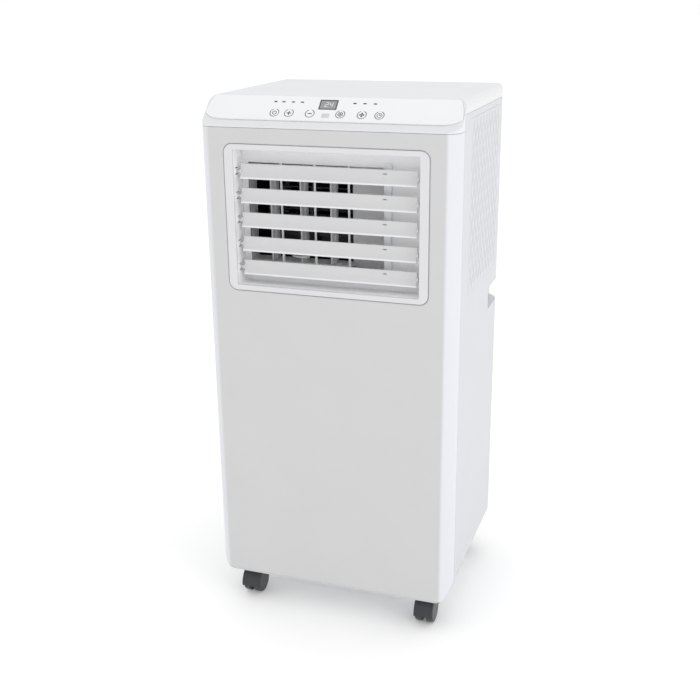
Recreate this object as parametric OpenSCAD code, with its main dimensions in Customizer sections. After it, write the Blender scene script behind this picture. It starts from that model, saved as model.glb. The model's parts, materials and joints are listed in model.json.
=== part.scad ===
// Portable room air conditioner on casters.
// Origin on the floor under the middle of the case, +X to the right of someone facing it,
// +Y to its back, +Z up.

/* [Case] */
// Width of the case across the side panels
case_w = 330; // [330:1:396]
// Depth of the case from the front face to the back edges
case_d = 285; // [285:1:342]
// Height of the top above the floor
case_h = 700; // [700:1:840]
// Thickness of the moulded case walls
wall = 2.5; // [2:0.1:3]
// Visible gap where two panels meet
seam = 0.4; // [0.3:0.1:0.8]
// Height of the underside above the floor
foot_gap = 45; // [43:1:60]
// Radius of the upright edges beside the front face
front_edge_r = 22; // [21:1:26]
// How far behind the face the centres of those edges lie
front_edge_in = 20; // [18:1:20]
// Radius of the upright edges at the back
rear_edge_r = 38; // [30:1:40]
// Radius of the long edges under both sides
bottom_edge_r = 30; // [24:1:30]
// Radius of the sills under the front and the back
sill_r = 8; // [5:1:9]
// Radius of the top edges along both sides
top_edge_r = 10; // [6:1:12]
// How far the front panel wraps round to the sides
front_wrap = 30; // [24:1:34]

/* [Top cover] */
// Depth of the top cover's front lip
lip_drop = 35; // [33:1:40]
// Height of the top cover along the sides and the back
cap_h = 16; // [14:1:24]
// Angle of the control slope
slope_a = 44; // [40:1:48]
// How far behind the face the slope meets the flat top
slope_end = 45; // [42:1:50]
// Angle of the ledge below the slope
ledge_a = 19; // [12:1:24]

/* [Control strip] */
// Half width of the control strip at its widest
strip_hw = 163.5; // [150:0.5:163.5]
// Length of the strip along the slope
strip_l = 38; // [36:0.5:38]
// How proud the strip stands of the slope
strip_proud = 1.6; // [1:0.1:2]
// Radius of a button
button_r = 6; // [5:0.1:6.5]
// Travel of a button
button_travel = 0.5; // [0.3:0.1:0.6]
// Distance from the strip's front edge to the row of buttons
button_row = 11.8; // [10:0.1:13]
// Width of the display window
display_w = 23; // [18:0.5:24]
// Height of the display window along the slope
display_h = 15; // [12:0.5:15]

/* [Air outlet] */
// Width of the louvre frame
vent_w = 262; // [240:1:270]
// Height of the louvre frame
vent_h = 185; // [180:1:220]
// Corner radius of the louvre frame
vent_r = 11; // [6:1:14]
// Distance from the lip down to the louvre frame
vent_drop = 20; // [14:1:40]
// Width of the frame's flat border
vent_border = 11.5; // [9:0.5:13]
// Distance between two louvre pivots
slat_pitch = 30.6; // [28:0.1:30.8]
// Distance from the top of the frame's opening down to the first pivot
slat_top_in = 28; // [24:0.5:30]
// Distance of the louvre pivots behind the face
slat_in = 13; // [12:0.5:14]
// Radius of a louvre pivot pin
slat_pin_r = 1.5; // [1.2:0.1:2]
// Distance of the guard grille behind the face
guard_in = 28; // [27:0.5:30]
// Spacing of the guard grille's upright bars
guard_pitch = 44.5; // [38:0.5:46]
// Width of the throat that the blower feeds
throat_w = 133; // [120:1:140]
// Height of that throat
throat_h = 122; // [110:1:124]
// Distance between two upright vanes
vane_pitch = 40.5; // [36:0.5:42]

/* [Back] */
// Half width of the flat rear panel
rear_hw = 127; // [122:1:127]
// How far the rear panel is set in from the back edges
rear_inset = 3; // [3:0.5:4]
// Half width of both intake windows
intake_hw = 112; // [100:1:114]
// Height of the upper intake window
upper_intake_h = 202; // [180:1:204]
// Height of the lower intake window
lower_intake_h = 168; // [140:1:170]
// Bore radius of the exhaust collar that the hose plugs into
exhaust_r = 66; // [60:0.5:67]
// Distance of the exhaust collar to the right of the middle
exhaust_x = 45; // [40:1:50]
// Height of the exhaust collar's middle above the underside
exhaust_up = 300; // [296:1:302]

/* [Carrying pockets] */
// Depth of a carrying pocket
pocket_in = 14; // [10:0.5:16]
// Height of a carrying pocket
pocket_h = 30; // [26:1:34]
// Length of a carrying pocket from the back
pocket_l = 88; // [70:1:100]
// Distance from the top of the case down to the pocket's roof
pocket_drop = 268; // [240:1:280]

/* [Casters] */
// Radius of a caster wheel
caster_r = 18; // [16:0.5:18]
// Width of one wheel half
caster_half_w = 10; // [8:0.5:11]
// Width of the web between the two halves
caster_web = 5; // [4:0.5:6]
// Distance of a caster stem from the side of the case
caster_in_x = 38; // [38:1:50]
// Distance of a caster stem from the front or the back
caster_in_y = 42; // [40:1:50]
// How far the wheels trail their stem
caster_trail = 9; // [6:0.5:10]
// Radius of a caster stem
stem_r = 4; // [3.5:0.1:4.5]

/* [Hidden] */
$fn = 48;
face_y = -case_d / 2;
back_y = case_d / 2;
side_x = case_w / 2;
lip_z = case_h - lip_drop;
cap_z = case_h - cap_h;
fit = 0.3;            // gap between pieces that sit beside each other
run_fit = 0.05;       // radial clearance of a shaft in its bearing
reach = 1200;         // longer than any part of the case
tiny = 0.01;
rear_face = back_y - rear_inset;
pan_hw = side_x - bottom_edge_r;

// control slope, as a line in the plane of the side view
slope_z = case_h - (slope_end - 16) * tan(slope_a);
slope_y = face_y + 16;
strip_t = strip_proud + 1;
lamp_row = 28.8;
lamp_x = [-73.6, -63, -50.5, -38.7, 28.6, 41.2, 54.3];
button_x = [-71, -52, -25, 14, 41, 63];
display_x = -4.4;
display_row = 25.9;
receiver_row = 9.2;
receiver_w = 9;
receiver_h = 6;
key_stem_l = wall + 4;
key_stem_r = 2;
key_gap = 0.25;       // gap round a key in the strip
pane_gap = 0.1;       // gap round a window or a lens in the strip
lamp_w = 3;
lamp_h = 1.4;
board_top = -wall - 8;
board_t = 1.6;
board_low = 4;
board_high = 34;
switch_w = 6;
switch_h = -key_stem_l - 2 * button_travel - board_top;
display_stand = 6;    // height of the display on the board
board_screw_x = [-85, 81];
board_screw_row = 30;
board_post_r = 3.5;

// louvre frame
vent_top = lip_z - vent_drop;
vent_mid = vent_top - vent_h / 2;
open_w = vent_w - 2 * vent_border;
border_z = 7;
open_h = vent_h - 2 * border_z;
open_top = vent_top - border_z;
open_bottom = open_top - open_h;
liner_t = 2.5;
slat_n = 5;
slat_z = [for (i = [0 : slat_n - 1]) open_top - slat_top_in - i * slat_pitch];
slat_l = open_w - 11;
slat_y = face_y + slat_in;
blade_r = 19.4;
blade_t = 2.2;
blade_yc = -19;
blade_zc = 4;
blade_top_a = 14;
blade_low_a = -38;
tie_x = 73;
tie_y = 9.5;
tie_z = 3;
tie_pin_r = 1.2;
tie_bore_gap = 0.15;

// duct, throat and vanes
guard_t = 2.5;
guard_top_band = 19;
guard_low_band = 15;
duct_y0 = face_y + guard_in + guard_t + fit;
duct_y1 = face_y + 72;
throat_x0 = -open_w / 2;
throat_x1 = throat_x0 + throat_w;
throat_z = open_top - 26.5 - throat_h / 2;
throat_z0 = throat_z - throat_h / 2;
throat_z1 = throat_z + throat_h / 2;
vane_n = 3;
vane_x = [for (i = [0 : vane_n - 1]) throat_x0 + 31.5 + i * vane_pitch];
vane_y = face_y + 56;
vane_d = 24;
vane_t = 2.2;
vane_pin_r = 2;
link_y = 8;
link_pin_r = 1.5;

// carrying pocket
pocket_z1 = case_h - pocket_drop;
pocket_z0 = pocket_z1 - pocket_h;
pocket_x = side_x - pocket_in;

// relief in the upper part of the side panels
relief_y0 = face_y + 66;
relief_y1 = back_y - rear_edge_r - 8;
relief_z0 = pocket_z1 + 26;
relief_z1 = cap_z - 8;
relief_deep = 0.8;

// back of the case
upper_z1 = cap_z - 20;
upper_z0 = upper_z1 - upper_intake_h;
lower_z0 = foot_gap + 45;
lower_z1 = lower_z0 + lower_intake_h;
exhaust_z = foot_gap + exhaust_up;
collar_t = 2.5;
drain_x = -85;
low_drain_z = foot_gap + 17;
deck_z = upper_z0 - 34;
high_drain_z = deck_z + 10;
drain_r = 6.5;
gland_x = -95;
gland_z = exhaust_z - 10;
gland_r = 8;
lead_r = 4;
screw_x = 119.5;
screw_r = 2;
screw_gap = 0.2;

// base and casters
pan_t = 3;
rim_h = 24;
caster_x = side_x - caster_in_x;
caster_y = case_d / 2 - caster_in_y;
hood_gap = 0.9;
hood_t = 2;
hood_r = caster_r + hood_gap + hood_t;
axle_r = 3;
boss_r = 7.5;

// compressor and lower fan
comp_x = -92;
comp_y = face_y + 150;
comp_r = 50;
comp_h = 190;
foot_r = 60;
tank_a = -50;
tank_r = 17;
suction_x = comp_x + (comp_r + tank_r + 3) * cos(tank_a);
liquid_x = suction_x + 26;
pipe_y = comp_y + (comp_r + tank_r + 3) * sin(tank_a);
elbow_t = 1;
stud_r = 3;
grommet_h = 10;
fan_x = exhaust_x;
fan_z = foot_gap + 133;
fan_r = 74;
scroll_r = 86;
fan_y0 = face_y + 150;
fan_y1 = face_y + 214;

// upper blower
blower_y = face_y + 152;
blower_z = throat_z;
blower_r = 58;
shell_r = 72;
shaft_r = 4;
housing_t = 2;

// ---------------------------------------------------------------- helpers

// Block between two corners
module block(low, high) {
    translate(low) cube(high - low);
}

// Rectangle between two corners
module area(low, high) {
    translate(low) square(high - low);
}

// Rectangle about a point with four round corners
module round_area(w, h, r) {
    area([-w / 2 + r, -h / 2], [w / 2 - r, h / 2]);
    area([-w / 2, -h / 2 + r], [w / 2, h / 2 - r]);
    for (x = [-1, 1], y = [-1, 1])
        translate([x * (w / 2 - r), y * (h / 2 - r)]) circle(r = r);
}

// Upright outline, given as x and z, carried from y0 back to y1
module along_y(y0, y1) {
    translate([0, y1, 0]) rotate([90, 0, 0]) linear_extrude(y1 - y0) children();
}

// Side outline, given as y and z, carried from x0 to x1
module along_x(x0, x1) {
    translate([x0, 0, 0]) rotate([90, 0, 90]) linear_extrude(x1 - x0) children();
}

// Round bar from x0 to x1 at a height and depth
module rod_x(r, x0, x1, y, z) {
    translate([x0, y, z]) rotate([0, 90, 0]) cylinder(r = r, h = x1 - x0);
}

// Round bar from y0 back to y1
module rod_y(r, x, z, y0, y1) {
    translate([x, y1, z]) rotate([90, 0, 0]) cylinder(r = r, h = y1 - y0);
}

// Everything below a sloping line of the side view, moved down by the inset
module under_line(y, z, a, inset) {
    translate([y, z]) rotate(a) area([-reach, -reach - inset], [reach, -inset]);
}

// Places children on the control slope: x across, y up the slope from its front edge, z out of it
module on_slope() {
    translate([0, slope_y, slope_z]) rotate([slope_a, 0, 0]) children();
}

// ---------------------------------------------------------------- case outline

// Plan of the case, moved inwards by the inset
module case_plan(inset) {
    front_x = side_x - front_edge_r;
    rear_x = side_x - rear_edge_r;
    front_yc = face_y + front_edge_in;
    rear_yc = back_y - rear_edge_r;
    intersection() {
        union() {
            for (s = [-1, 1]) {
                translate([s * front_x, front_yc]) circle(r = front_edge_r - inset);
                translate([s * rear_x, rear_yc]) circle(r = rear_edge_r - inset);
            }
            area([-front_x, face_y - front_edge_r], [front_x, rear_yc]);
            area([-side_x + inset, front_yc], [side_x - inset, rear_yc]);
            area([-rear_x, rear_yc - 1], [rear_x, back_y - inset]);
        }
        area([-side_x, face_y + inset], [side_x, back_y]);
    }
}

// Front view of the case, as x and z
module case_front(inset) {
    low_x = side_x - bottom_edge_r;
    top_x = side_x - top_edge_r;
    low_z = foot_gap + bottom_edge_r;
    high_z = case_h - top_edge_r;
    for (s = [-1, 1]) {
        translate([s * low_x, low_z]) circle(r = bottom_edge_r - inset);
        translate([s * top_x, high_z]) circle(r = top_edge_r - inset);
    }
    area([-low_x, foot_gap + inset], [low_x, high_z]);
    area([-side_x + inset, low_z], [side_x - inset, high_z]);
    area([-top_x, high_z - 1], [top_x, case_h - inset]);
}

// Side view of the case, as y and z
module case_side(inset) {
    sill_z = foot_gap + sill_r;
    top_r = 12;
    intersection() {
        union() {
            for (y = [face_y + sill_r, back_y - sill_r])
                translate([y, sill_z]) circle(r = sill_r - inset);
            area([face_y + sill_r, foot_gap + inset], [back_y - sill_r, sill_z]);
            area([face_y + inset, sill_z], [back_y - inset, case_h - top_r]);
            area([face_y + inset, case_h - top_r - 1], [back_y - top_r, case_h - inset]);
            translate([back_y - top_r, case_h - top_r]) circle(r = top_r - inset);
        }
        union() {
            under_line(slope_y, slope_z, slope_a, inset);
            under_line(slope_y, slope_z, ledge_a, inset);
        }
    }
}

// Solid of the whole case, moved inwards by the inset
module case_body(inset) {
    intersection() {
        linear_extrude(case_h + 1) case_plan(inset);
        along_y(face_y - 1, back_y + 1) case_front(inset);
        along_x(-side_x - 1, side_x + 1) case_side(inset);
    }
}

// Walls of the whole case
module case_shell() {
    difference() {
        case_body(0);
        case_body(wall);
    }
}

// Space that the base pan takes out of the panels' undersides
module pan_space(gap) {
    block([-pan_hw - gap, face_y + sill_r + 2 - gap, foot_gap - 1],
          [pan_hw + gap, rear_face - wall, foot_gap + wall + tiny]);
}

// ---------------------------------------------------------------- case panels

module front_panel() color("whitesmoke") {
    difference() {
        intersection() {
            case_shell();
            block([-side_x, face_y, foot_gap],
                  [side_x, face_y + front_wrap - seam / 2, lip_z - seam / 2]);
        }
        pan_space(fit);
        translate([0, 0, vent_mid]) along_y(face_y - 1, face_y + front_wrap)
            round_area(vent_w + 2 * seam, vent_h + 2 * seam, vent_r + seam);
    }
}

module top_cover() color("white") {
    difference() {
        union() {
            intersection() {
                case_shell();
                union() {
                    block([-side_x, face_y, cap_z + seam / 2], [side_x, back_y, case_h]);
                    block([-side_x, face_y, lip_z + seam / 2],
                          [side_x, face_y + front_wrap - seam / 2, case_h]);
                }
            }
            // posts that carry the control board
            on_slope() for (x = board_screw_x) translate([x, board_screw_row, board_top])
                cylinder(r = board_post_r, h = -board_top - wall / 2);
        }
        on_slope() for (x = board_screw_x) translate([x, board_screw_row, board_top - 1])
            cylinder(r = 1.2, h = 6);
        on_slope() translate([0, 0, strip_proud - strip_t]) linear_extrude(strip_t + 1)
            strip_outline(0.2);
        // windows under the strip for the keys, the lamps and the display
        on_slope() translate([0, 0, -wall * 2]) linear_extrude(wall * 3) {
            for (x = button_x) translate([x, button_row]) circle(r = button_r + 1);
            area([lamp_x[0] - 5, lamp_row - 3], [lamp_x[3] + 5, lamp_row + 3]);
            area([lamp_x[4] - 5, lamp_row - 3], [lamp_x[6] + 5, lamp_row + 3]);
            translate([display_x, display_row]) square([display_w, display_h], center = true);
            translate([display_x, receiver_row]) square([receiver_w, receiver_h], center = true);
        }
    }
}

// One side panel: side wall, rear edge and carrying pocket; s is -1 for the left and 1 for the right
module side_panel(s) {
    panel_top = cap_z - seam / 2;
    inner_x = rear_hw + seam / 2;
    difference() {
        union() {
            intersection() {
                case_shell();
                block([s > 0 ? inner_x : -side_x, face_y + front_wrap + seam / 2, foot_gap],
                      [s > 0 ? side_x : -inner_x, back_y, panel_top]);
            }
            // walls round the carrying pocket
            intersection() {
                case_body(wall / 2);
                block([s > 0 ? pocket_x - wall : -side_x, back_y - pocket_l - wall, pocket_z0 - wall],
                      [s > 0 ? side_x : -pocket_x + wall, back_y, pocket_z1 + wall]);
            }
        }
        pan_space(fit);
        block([s > 0 ? pocket_x : -side_x - 1, back_y - pocket_l, pocket_z0],
              [s > 0 ? side_x + 1 : -pocket_x, back_y + 1, pocket_z1]);
        relief_field(s);
    }
}

// Shallow field sunk in the upper part of a side panel
module relief_field(s) {
    block([s > 0 ? side_x - relief_deep : -side_x - 1, relief_y0, relief_z0],
          [s > 0 ? side_x + 1 : -side_x + relief_deep, relief_y1, relief_z1]);
}

module side_panel_left() color("white") side_panel(-1);
module side_panel_right() color("white") side_panel(1);

module rear_panel() color("whitesmoke") {
    difference() {
        block([-rear_hw + seam / 2, rear_face - wall, foot_gap],
              [rear_hw - seam / 2, rear_face, cap_z - seam / 2]);
        block([-intake_hw - fit, rear_face - wall - 1, upper_z0 - fit],
              [intake_hw + fit, back_y, upper_z1 + fit]);
        block([-intake_hw - fit, rear_face - wall - 1, lower_z0 - fit],
              [intake_hw + fit, back_y, lower_z1 + fit]);
        rod_y(exhaust_r + collar_t + fit, exhaust_x, exhaust_z, rear_face - wall - 1, back_y);
        for (z = [low_drain_z, high_drain_z])
            rod_y(drain_r + 3.5, drain_x, z, rear_face - wall - 1, back_y);
        rod_y(gland_r + run_fit, gland_x, gland_z, rear_face - wall - 1, back_y);
        for (x = [-1, 1], z = rear_screw_z())
            rod_y(screw_r + screw_gap, x * screw_x, z, rear_face - wall - 1, back_y);
    }
}

function rear_screw_z() = [foot_gap + 20, exhaust_z - 72, upper_z0 - 10, cap_z - 11];

// ---------------------------------------------------------------- control strip

// Outline of the strip on the slope: its front corners are quarter ellipses and its ends lean in
module strip_outline(grow) {
    corner_w = 26;
    corner_h = 12;
    lean = 6.5;
    half = concat(
        [for (a = [0 : 7.5 : 90]) [strip_hw + grow - corner_w * (1 - sin(a)),
            corner_h * (1 - cos(a)) + 0.6 - grow * cos(a)]],
        [for (t = [0.25 : 0.25 : 1]) [strip_hw + grow - lean * t * t,
            corner_h + 0.6 + (strip_l - corner_h) * t + grow * t]]);
    polygon(concat(half, [for (i = [len(half) - 1 : -1 : 0]) [-half[i][0], half[i][1]]]));
}

module control_strip() color("white") {
    gap = 2 * pane_gap;
    on_slope() difference() {
        translate([0, 0, strip_proud - strip_t]) linear_extrude(strip_t) strip_outline(0);
        translate([0, 0, -strip_t]) linear_extrude(strip_t * 3) {
            for (x = button_x) translate([x, button_row]) circle(r = button_r + key_gap);
            for (x = lamp_x) translate([x, lamp_row]) square([lamp_w + gap, lamp_h + gap], center = true);
            translate([display_x, display_row]) square([display_w + gap, display_h + gap], center = true);
            translate([display_x, receiver_row]) square([receiver_w + gap, receiver_h + gap], center = true);
        }
    }
}

module display_window() color("dimgray") {
    on_slope() translate([display_x, display_row, strip_proud - strip_t])
        linear_extrude(strip_t - pane_gap) square([display_w, display_h], center = true);
}

module indicator_lenses() color("darkslategray") {
    on_slope() for (x = lamp_x) translate([x, lamp_row, strip_proud - strip_t])
        linear_extrude(strip_t - pane_gap) square([lamp_w, lamp_h], center = true);
}

module receiver_window() color("silver") {
    on_slope() translate([display_x, receiver_row, strip_proud - strip_t])
        linear_extrude(strip_t - pane_gap) square([receiver_w, receiver_h], center = true);
}

// Board under the strip with the key switches, lamps and display
module control_board() color("darkgreen") {
    edge = 5;
    half = switch_w / 2;
    display_half = [12, 7];
    hole_r = 1.6;
    on_slope() difference() {
        union() {
            block([board_screw_x[0] - edge, board_low, board_top - board_t],
                  [board_screw_x[1] + edge, board_high, board_top]);
            for (x = button_x)
                block([x - half, button_row - half, board_top],
                      [x + half, button_row + half, board_top + switch_h]);
            block([display_x - display_half[0], display_row - display_half[1], board_top],
                  [display_x + display_half[0], display_row + display_half[1], board_top + display_stand]);
        }
        for (x = board_screw_x) translate([x, board_screw_row, board_top - board_t - 1])
            cylinder(r = hole_r, h = board_t + 2);
    }
}

// One key: a round cap with a stem that reaches towards its switch
module button(x) color("white") {
    on_slope() translate([x, button_row, 0]) {
        translate([0, 0, strip_proud - strip_t]) cylinder(r = button_r, h = strip_t - 0.05);
        translate([0, 0, -key_stem_l]) cylinder(r = key_stem_r, h = key_stem_l);
    }
}

module button_power() button(button_x[0]);
module button_up() button(button_x[1]);
module button_down() button(button_x[2]);
module button_mode() button(button_x[3]);
module button_fan() button(button_x[4]);
module button_timer() button(button_x[5]);

// ---------------------------------------------------------------- air outlet

module louver_frame() color("whitesmoke") {
    flange_t = 3;
    slot_h = 1.4;
    slot_half = 4;
    liner_y1 = face_y + guard_in - fit;
    difference() {
        union() {
            translate([0, 0, vent_mid]) along_y(face_y, face_y + flange_t) round_area(vent_w, vent_h, vent_r);
            translate([0, 0, vent_mid]) along_y(face_y, liner_y1)
                round_area(open_w + 2 * liner_t, open_h + 2 * liner_t, 3);
        }
        translate([0, 0, vent_mid]) along_y(face_y - 1, liner_y1 + 1) round_area(open_w, open_h, 2);
        for (z = slat_z) {
            rod_x(slat_pin_r + run_fit, -vent_w / 2, vent_w / 2, slat_y, z);
            // slots above and below each bearing let it spring open for the pin
            for (dz = [-4.6, 3.2])
                block([-vent_w / 2, slat_y - slot_half, z + dz],
                      [vent_w / 2, slat_y + slot_half, z + dz + slot_h]);
        }
    }
}

// Section of one louvre blade about its pivot, as y and z: a curved blade with round edges
module blade_section() {
    far = blade_r * 2;
    intersection() {
        translate([blade_yc, blade_zc]) difference() {
            circle(r = blade_r + blade_t / 2, $fn = 96);
            circle(r = blade_r - blade_t / 2, $fn = 96);
        }
        translate([blade_yc, blade_zc]) polygon([[0, 0],
            [far * cos(blade_low_a), far * sin(blade_low_a)], [far, 0],
            [far * cos(blade_top_a), far * sin(blade_top_a)]]);
    }
    for (a = [blade_top_a, blade_low_a])
        translate([blade_yc + blade_r * cos(a), blade_zc + blade_r * sin(a)]) circle(r = blade_t / 2);
}

// One louvre blade with its two end pins and the fork that the tie bar hooks on
module slat(z) color("white") {
    fork_gap = 4;
    fork_t = 2;
    slit_hw = 2.6;
    slit_z = 0.9;
    slit_h = 1.2;
    boss_r = 3;
    boss_half = 1.5;
    end_x = slat_l / 2;
    translate([0, slat_y, z]) {
        difference() {
            along_x(-end_x, end_x) blade_section();
            // slit that the tie bar's hook shows through
            block([tie_x - slit_hw, -6, tie_z + slit_z], [tie_x + slit_hw, 1.7, tie_z + slit_z + slit_h]);
        }
        for (s = [-1, 1]) {
            fork_x = tie_x + s * (fork_gap + fork_t) / 2;
            rod_x(boss_r, s > 0 ? end_x - 1 : -end_x - boss_half,
                  s > 0 ? end_x + boss_half : -end_x + 1, 0, 0);
            rod_x(slat_pin_r, s > 0 ? end_x : -open_w / 2 - 2, s > 0 ? open_w / 2 + 2 : -end_x, 0, 0);
            along_x(fork_x - fork_t / 2, fork_x + fork_t / 2) {
                translate([tie_y, tie_z]) circle(r = 2);
                polygon([[0, -2.2], [0.6, 5], [tie_y, tie_z + 2], [tie_y, tie_z - 2]]);
            }
        }
        rod_x(tie_pin_r, tie_x - 4, tie_x + 4, tie_y, tie_z);
    }
}

module slat_1() slat(slat_z[0]);
module slat_2() slat(slat_z[1]);
module slat_3() slat(slat_z[2]);
module slat_4() slat(slat_z[3]);
module slat_5() slat(slat_z[4]);

// Bar behind the louvres that makes them turn together
module tie_bar() color("white") {
    pin_y = slat_y + tie_y;
    bar_y = pin_y + 2.4;
    bar_t = 1.4;
    bar_hw = 4.5;
    hook_r = 2.7;
    hook_hw = 1.6;
    top_z = slat_z[0] + tie_z + 8;
    difference() {
        union() {
            block([tie_x - bar_hw, bar_y, slat_z[slat_n - 1] + tie_z - 6],
                  [tie_x + bar_hw, bar_y + bar_t, top_z]);
            rod_y(bar_hw, tie_x, top_z, bar_y, bar_y + bar_t);
            for (z = slat_z) {
                rod_x(hook_r, tie_x - hook_hw, tie_x + hook_hw, pin_y, z + tie_z);
                block([tie_x - hook_hw, pin_y, z + tie_z - hook_r],
                      [tie_x + hook_hw, bar_y + 1, z + tie_z + hook_r]);
            }
        }
        for (z = slat_z) rod_x(tie_pin_r + tie_bore_gap, tie_x - 3, tie_x + 3, pin_y, z + tie_z);
    }
}

// Finger guard behind the louvres: a plate with a barred window in front of the throat and the duct
module guard_grille() color("white") {
    y0 = face_y + guard_in;
    low = [-2.5 * guard_pitch, y0, open_bottom + guard_low_band];
    high = [1.5 * guard_pitch, y0 + guard_t, open_top - guard_top_band];
    bar_w = 2.8;
    wire_h = 1.6;
    wire_pitch = 29.3;
    difference() {
        translate([0, 0, vent_mid]) along_y(y0, y0 + guard_t)
            round_area(open_w + 2 * liner_t, open_h + 2 * liner_t, 3);
        block(low - [0, 1, 0], high + [0, 1, 0]);
    }
    for (k = [-1.5 : 1 : 0.5]) {
        x = k * guard_pitch;
        block([x - bar_w / 2, y0, low[2] - 1], [x + bar_w / 2, high[1], high[2] + 1]);
    }
    for (z = [high[2] - 20.3 : -wire_pitch : low[2] + 5])
        block([low[0] - 1, y0 + 0.4, z - wire_h / 2], [high[0] + 1, high[1] - 0.4, z + wire_h / 2]);
}

// Box behind the guard that leads the air from the blower's mouth to the louvres
module outlet_duct() color("gainsboro") {
    rail = 3;
    difference() {
        union() {
            difference() {
                translate([0, 0, vent_mid]) along_y(duct_y0, duct_y1)
                    round_area(open_w + 2 * liner_t, open_h + 2 * liner_t, 3);
                translate([0, 0, vent_mid]) along_y(duct_y0 - 1, duct_y1 - liner_t) round_area(open_w, open_h, 2);
            }
            // shelves that carry the vanes
            for (z = [throat_z0 - rail, throat_z1])
                block([throat_x0 - 1, vane_y - 9, z], [throat_x1 + rail, duct_y1 - 1, z + rail]);
        }
        block([throat_x0, duct_y1 - liner_t - 1, throat_z0], [throat_x1, duct_y1 + 1, throat_z1]);
        for (x = vane_x)
            translate([x, vane_y, throat_z0 - rail - 1])
                cylinder(r = vane_pin_r + run_fit, h = throat_h + 2 * rail + 2);
    }
}

// One upright vane with its pivot pins and the pin of the link
module vane(i) color("white") {
    low = throat_z0 + 1;
    high = throat_z1 - 8;
    translate([vane_x[i], vane_y, 0]) {
        block([-vane_t / 2, -vane_d / 2, low], [vane_t / 2, vane_d / 2, high]);
        translate([0, -vane_d / 2, low]) cylinder(r = vane_t / 2, h = high - low);
        translate([0, 0, throat_z0 - 2.5]) cylinder(r = vane_pin_r, h = throat_h + 5);
        translate([0, link_y, high]) cylinder(r = link_pin_r, h = 5);
    }
}

module vane_1() vane(0);

// The middle vane also has a leaf-shaped tab for a fingertip
module vane_2() {
    leaf_r = 17;
    leaf_off = 12;
    vane(1);
    color("white") translate([vane_x[1], vane_y - vane_d / 2 - 4, throat_z0 + 9]) linear_extrude(2)
        intersection() {
            translate([0, leaf_off]) circle(r = leaf_r);
            translate([0, -leaf_off]) circle(r = leaf_r);
        }
}

module vane_3() vane(2);

// Flat bar that makes the vanes turn together
module vane_link() color("white") {
    z0 = throat_z1 - 8 + fit;
    y = vane_y + link_y;
    link_t = 2.4;
    link_hw = 1.6;
    eye_r = 3;
    difference() {
        union() {
            for (x = vane_x) translate([x, y, z0]) cylinder(r = eye_r, h = link_t);
            block([vane_x[0], y - link_hw, z0], [vane_x[vane_n - 1], y + link_hw, z0 + link_t]);
        }
        for (x = vane_x) translate([x, y, z0 - 1])
            cylinder(r = link_pin_r + tie_bore_gap, h = link_t + 2);
    }
}

// Side outline of the blower's chamber and its mouth, moved inwards by the inset
module blower_outline(inset) {
    mouth_y = duct_y1 + fit;
    translate([blower_y, blower_z]) circle(r = shell_r - inset, $fn = 96);
    area([mouth_y - (inset > 0 ? 1 : 0), throat_z0 - housing_t + inset],
         [blower_y, throat_z1 + housing_t - inset]);
}

// Snail housing of the upper blower: a round chamber with a mouth to the duct
module blower_housing() color("gainsboro") {
    inlet_r = 40;
    x0 = throat_x0 - housing_t;
    x1 = throat_x1 + housing_t;
    difference() {
        along_x(x0, x1) blower_outline(0);
        along_x(throat_x0, throat_x1) blower_outline(housing_t);
        rod_x(inlet_r, x0 - 1, x1 + 1, blower_y, blower_z);
    }
}

// Squirrel-cage wheel: two rings, a hub disc and a ring of blades
module cage_wheel(r, w, hub_r) {
    blade_n = 24;
    blade_deep = 12;
    disc_t = 3;
    for (z = [0, w - disc_t]) translate([0, 0, z]) difference() {
        cylinder(r = r, h = disc_t);
        translate([0, 0, -1]) cylinder(r = r - blade_deep, h = disc_t + 2);
    }
    translate([0, 0, w / 2 - disc_t / 2]) cylinder(r = r - 1, h = disc_t);
    translate([0, 0, w / 2 - 12]) cylinder(r = hub_r, h = 24);
    for (i = [0 : blade_n - 1]) rotate(i * 360 / blade_n) translate([r - blade_deep / 2 - 0.5, 0, w / 2])
        rotate(25) cube([blade_deep - 2, 1.2, w - 2], center = true);
}

module blower_wheel() color("lightgray") {
    w = throat_w - 12;
    translate([(throat_x0 + throat_x1) / 2 - w / 2, blower_y, blower_z]) rotate([0, 90, 0])
        cage_wheel(blower_r, w, 12);
    rod_x(shaft_r, throat_x0 + 8, throat_x1 + 30, blower_y, blower_z);
}

module blower_motor() color("silver") {
    x0 = throat_x1 + 12;
    can_r = 36;
    can_l = 42;
    boss_r = 10;
    arm_hw = 8;
    arm_z = blower_z - shell_r + 6;
    difference() {
        union() {
            rod_x(can_r, x0, x0 + can_l, blower_y, blower_z);
            rod_x(boss_r, x0 - 4, x0, blower_y, blower_z);
            // bracket that carries the motor on the blower housing
            block([x0 + can_l - 6, blower_y - arm_hw, arm_z],
                  [x0 + can_l, blower_y + arm_hw, blower_z - can_r + 6]);
            block([throat_x1 + housing_t + fit, blower_y - arm_hw, arm_z],
                  [x0 + can_l, blower_y + arm_hw, arm_z + 4]);
        }
        rod_x(shaft_r + run_fit, x0 - 5, x0 + 20, blower_y, blower_z);
    }
}

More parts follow.
